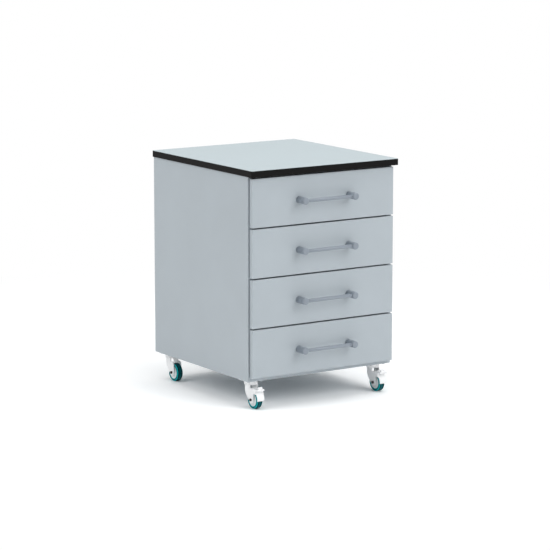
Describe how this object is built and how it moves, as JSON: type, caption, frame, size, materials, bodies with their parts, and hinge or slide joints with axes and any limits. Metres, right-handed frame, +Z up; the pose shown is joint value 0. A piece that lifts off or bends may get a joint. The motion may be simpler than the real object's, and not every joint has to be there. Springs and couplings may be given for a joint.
{
  "type": "mobile laboratory drawer cabinet",
  "caption": "Mobile under-bench drawer cabinet with overhanging worktop, handled drawers on telescopic slides and braked swivel casters.",
  "frame": {"origin": "on the floor, under the middle of the cabinet's outline with its handles", "axes": "+Z up, drawers open towards -Y, +X to the right of someone who stands behind the cabinet's front and looks along +Y"},
  "size_m": [0.47, 0.5354, 0.6455],
  "materials": {
    "panel": "satin grey-blue melamine-faced board",
    "worktop_edge": "board with satin black edging",
    "worktop_top": "satin light blue-grey laminate",
    "handle": "satin grey anodised",
    "tray": "matt light grey polypropylene",
    "slide_steel": "zinc-plated",
    "screw_steel": "zinc-plated",
    "caster_white": "satin white powder coat",
    "axle_black": "black",
    "wheel_hub": "light grey polyamide",
    "tyre": "teal elastic rubber"
  },
  "bodies": {
    "cabinet": {"worktop_board": "worktop_edge", "worktop_laminate": "worktop_top", "side_panel_left": "panel", "side_panel_right": "panel", "bottom_panel": "panel", "back_panel": "panel", "top_rails": "panel", "cabinet_slide_members": "slide_steel", "cabinet_screws": "screw_steel", "caster_front_left_plate": "caster_white", "caster_front_right_plate": "caster_white", "caster_rear_left_plate": "caster_white", "caster_rear_right_plate": "caster_white"},
    "drawer_1": {"drawer_1_front": "panel", "drawer_1_tray": "tray", "drawer_1_handle_posts": "handle", "drawer_1_handle_rod": "handle", "drawer_1_slide_members": "slide_steel", "drawer_1_screws": "screw_steel"},
    "slide_runners_1": {"drawer_1_slide_runners": "slide_steel"},
    "drawer_2": {"drawer_2_front": "panel", "drawer_2_tray": "tray", "drawer_2_handle_posts": "handle", "drawer_2_handle_rod": "handle", "drawer_2_slide_members": "slide_steel", "drawer_2_screws": "screw_steel"},
    "slide_runners_2": {"drawer_2_slide_runners": "slide_steel"},
    "drawer_3": {"drawer_3_front": "panel", "drawer_3_tray": "tray", "drawer_3_handle_posts": "handle", "drawer_3_handle_rod": "handle", "drawer_3_slide_members": "slide_steel", "drawer_3_screws": "screw_steel"},
    "slide_runners_3": {"drawer_3_slide_runners": "slide_steel"},
    "drawer_4": {"drawer_4_front": "panel", "drawer_4_tray": "tray", "drawer_4_handle_posts": "handle", "drawer_4_handle_rod": "handle", "drawer_4_slide_members": "slide_steel", "drawer_4_screws": "screw_steel"},
    "slide_runners_4": {"drawer_4_slide_runners": "slide_steel"},
    "fork_front_left": {"caster_front_left_fork": "caster_white", "caster_front_left_axle": "axle_black"},
    "wheel_front_left": {"caster_front_left_hub": "wheel_hub", "caster_front_left_tyre": "tyre"},
    "brake_front_left": {"caster_front_left_brake_pedal": "caster_white"},
    "fork_front_right": {"caster_front_right_fork": "caster_white", "caster_front_right_axle": "axle_black"},
    "wheel_front_right": {"caster_front_right_hub": "wheel_hub", "caster_front_right_tyre": "tyre"},
    "brake_front_right": {"caster_front_right_brake_pedal": "caster_white"},
    "fork_rear_left": {"caster_rear_left_fork": "caster_white", "caster_rear_left_axle": "axle_black"},
    "wheel_rear_left": {"caster_rear_left_hub": "wheel_hub", "caster_rear_left_tyre": "tyre"},
    "fork_rear_right": {"caster_rear_right_fork": "caster_white", "caster_rear_right_axle": "axle_black"},
    "wheel_rear_right": {"caster_rear_right_hub": "wheel_hub", "caster_rear_right_tyre": "tyre"}
  },
  "joints": [
    {"name": "drawer_1_slide", "type": "slide", "parent": "cabinet", "child": "drawer_1", "axis": [0, -1, 0], "range_m": [0, 0.4]},
    {"name": "runners_1_slide", "type": "slide", "parent": "cabinet", "child": "slide_runners_1", "axis": [0, -1, 0], "range_m": [0, 0.2]},
    {"name": "drawer_2_slide", "type": "slide", "parent": "cabinet", "child": "drawer_2", "axis": [0, -1, 0], "range_m": [0, 0.4]},
    {"name": "runners_2_slide", "type": "slide", "parent": "cabinet", "child": "slide_runners_2", "axis": [0, -1, 0], "range_m": [0, 0.2]},
    {"name": "drawer_3_slide", "type": "slide", "parent": "cabinet", "child": "drawer_3", "axis": [0, -1, 0], "range_m": [0, 0.4]},
    {"name": "runners_3_slide", "type": "slide", "parent": "cabinet", "child": "slide_runners_3", "axis": [0, -1, 0], "range_m": [0, 0.2]},
    {"name": "drawer_4_slide", "type": "slide", "parent": "cabinet", "child": "drawer_4", "axis": [0, -1, 0], "range_m": [0, 0.4]},
    {"name": "runners_4_slide", "type": "slide", "parent": "cabinet", "child": "slide_runners_4", "axis": [0, -1, 0], "range_m": [0, 0.2]},
    {"name": "front_left_swivel", "type": "hinge", "parent": "cabinet", "child": "fork_front_left", "pos_m": [-0.199, -0.1798, 0.06], "axis": [0, 0, 1], "continuous": true},
    {"name": "front_left_wheel_roll", "type": "hinge", "parent": "fork_front_left", "child": "wheel_front_left", "pos_m": [-0.199, -0.2008, 0.025], "axis": [1, 0, 0], "continuous": true},
    {"name": "front_left_brake_press", "type": "hinge", "parent": "fork_front_left", "child": "brake_front_left", "pos_m": [-0.199, -0.2138, 0.0524], "axis": [1, 0, 0], "range_deg": [0, 9]},
    {"name": "front_right_swivel", "type": "hinge", "parent": "cabinet", "child": "fork_front_right", "pos_m": [0.199, -0.1798, 0.06], "axis": [0, 0, 1], "continuous": true},
    {"name": "front_right_wheel_roll", "type": "hinge", "parent": "fork_front_right", "child": "wheel_front_right", "pos_m": [0.199, -0.2008, 0.025], "axis": [1, 0, 0], "continuous": true},
    {"name": "front_right_brake_press", "type": "hinge", "parent": "fork_front_right", "child": "brake_front_right", "pos_m": [0.199, -0.2138, 0.0524], "axis": [1, 0, 0], "range_deg": [0, 9]},
    {"name": "rear_left_swivel", "type": "hinge", "parent": "cabinet", "child": "fork_rear_left", "pos_m": [-0.199, 0.2312, 0.06], "axis": [0, 0, 1], "continuous": true},
    {"name": "rear_left_wheel_roll", "type": "hinge", "parent": "fork_rear_left", "child": "wheel_rear_left", "pos_m": [-0.199, 0.2102, 0.025], "axis": [1, 0, 0], "continuous": true},
    {"name": "rear_right_swivel", "type": "hinge", "parent": "cabinet", "child": "fork_rear_right", "pos_m": [0.199, 0.2312, 0.06], "axis": [0, 0, 1], "continuous": true},
    {"name": "rear_right_wheel_roll", "type": "hinge", "parent": "fork_rear_right", "child": "wheel_rear_right", "pos_m": [0.199, 0.2102, 0.025], "axis": [1, 0, 0], "continuous": true}
  ],
  "couplings": [
    {"joint": "runners_1_slide", "follows": "drawer_1_slide", "ratio": 0.5},
    {"joint": "runners_2_slide", "follows": "drawer_2_slide", "ratio": 0.5},
    {"joint": "runners_3_slide", "follows": "drawer_3_slide", "ratio": 0.5},
    {"joint": "runners_4_slide", "follows": "drawer_4_slide", "ratio": 0.5}
  ]
}
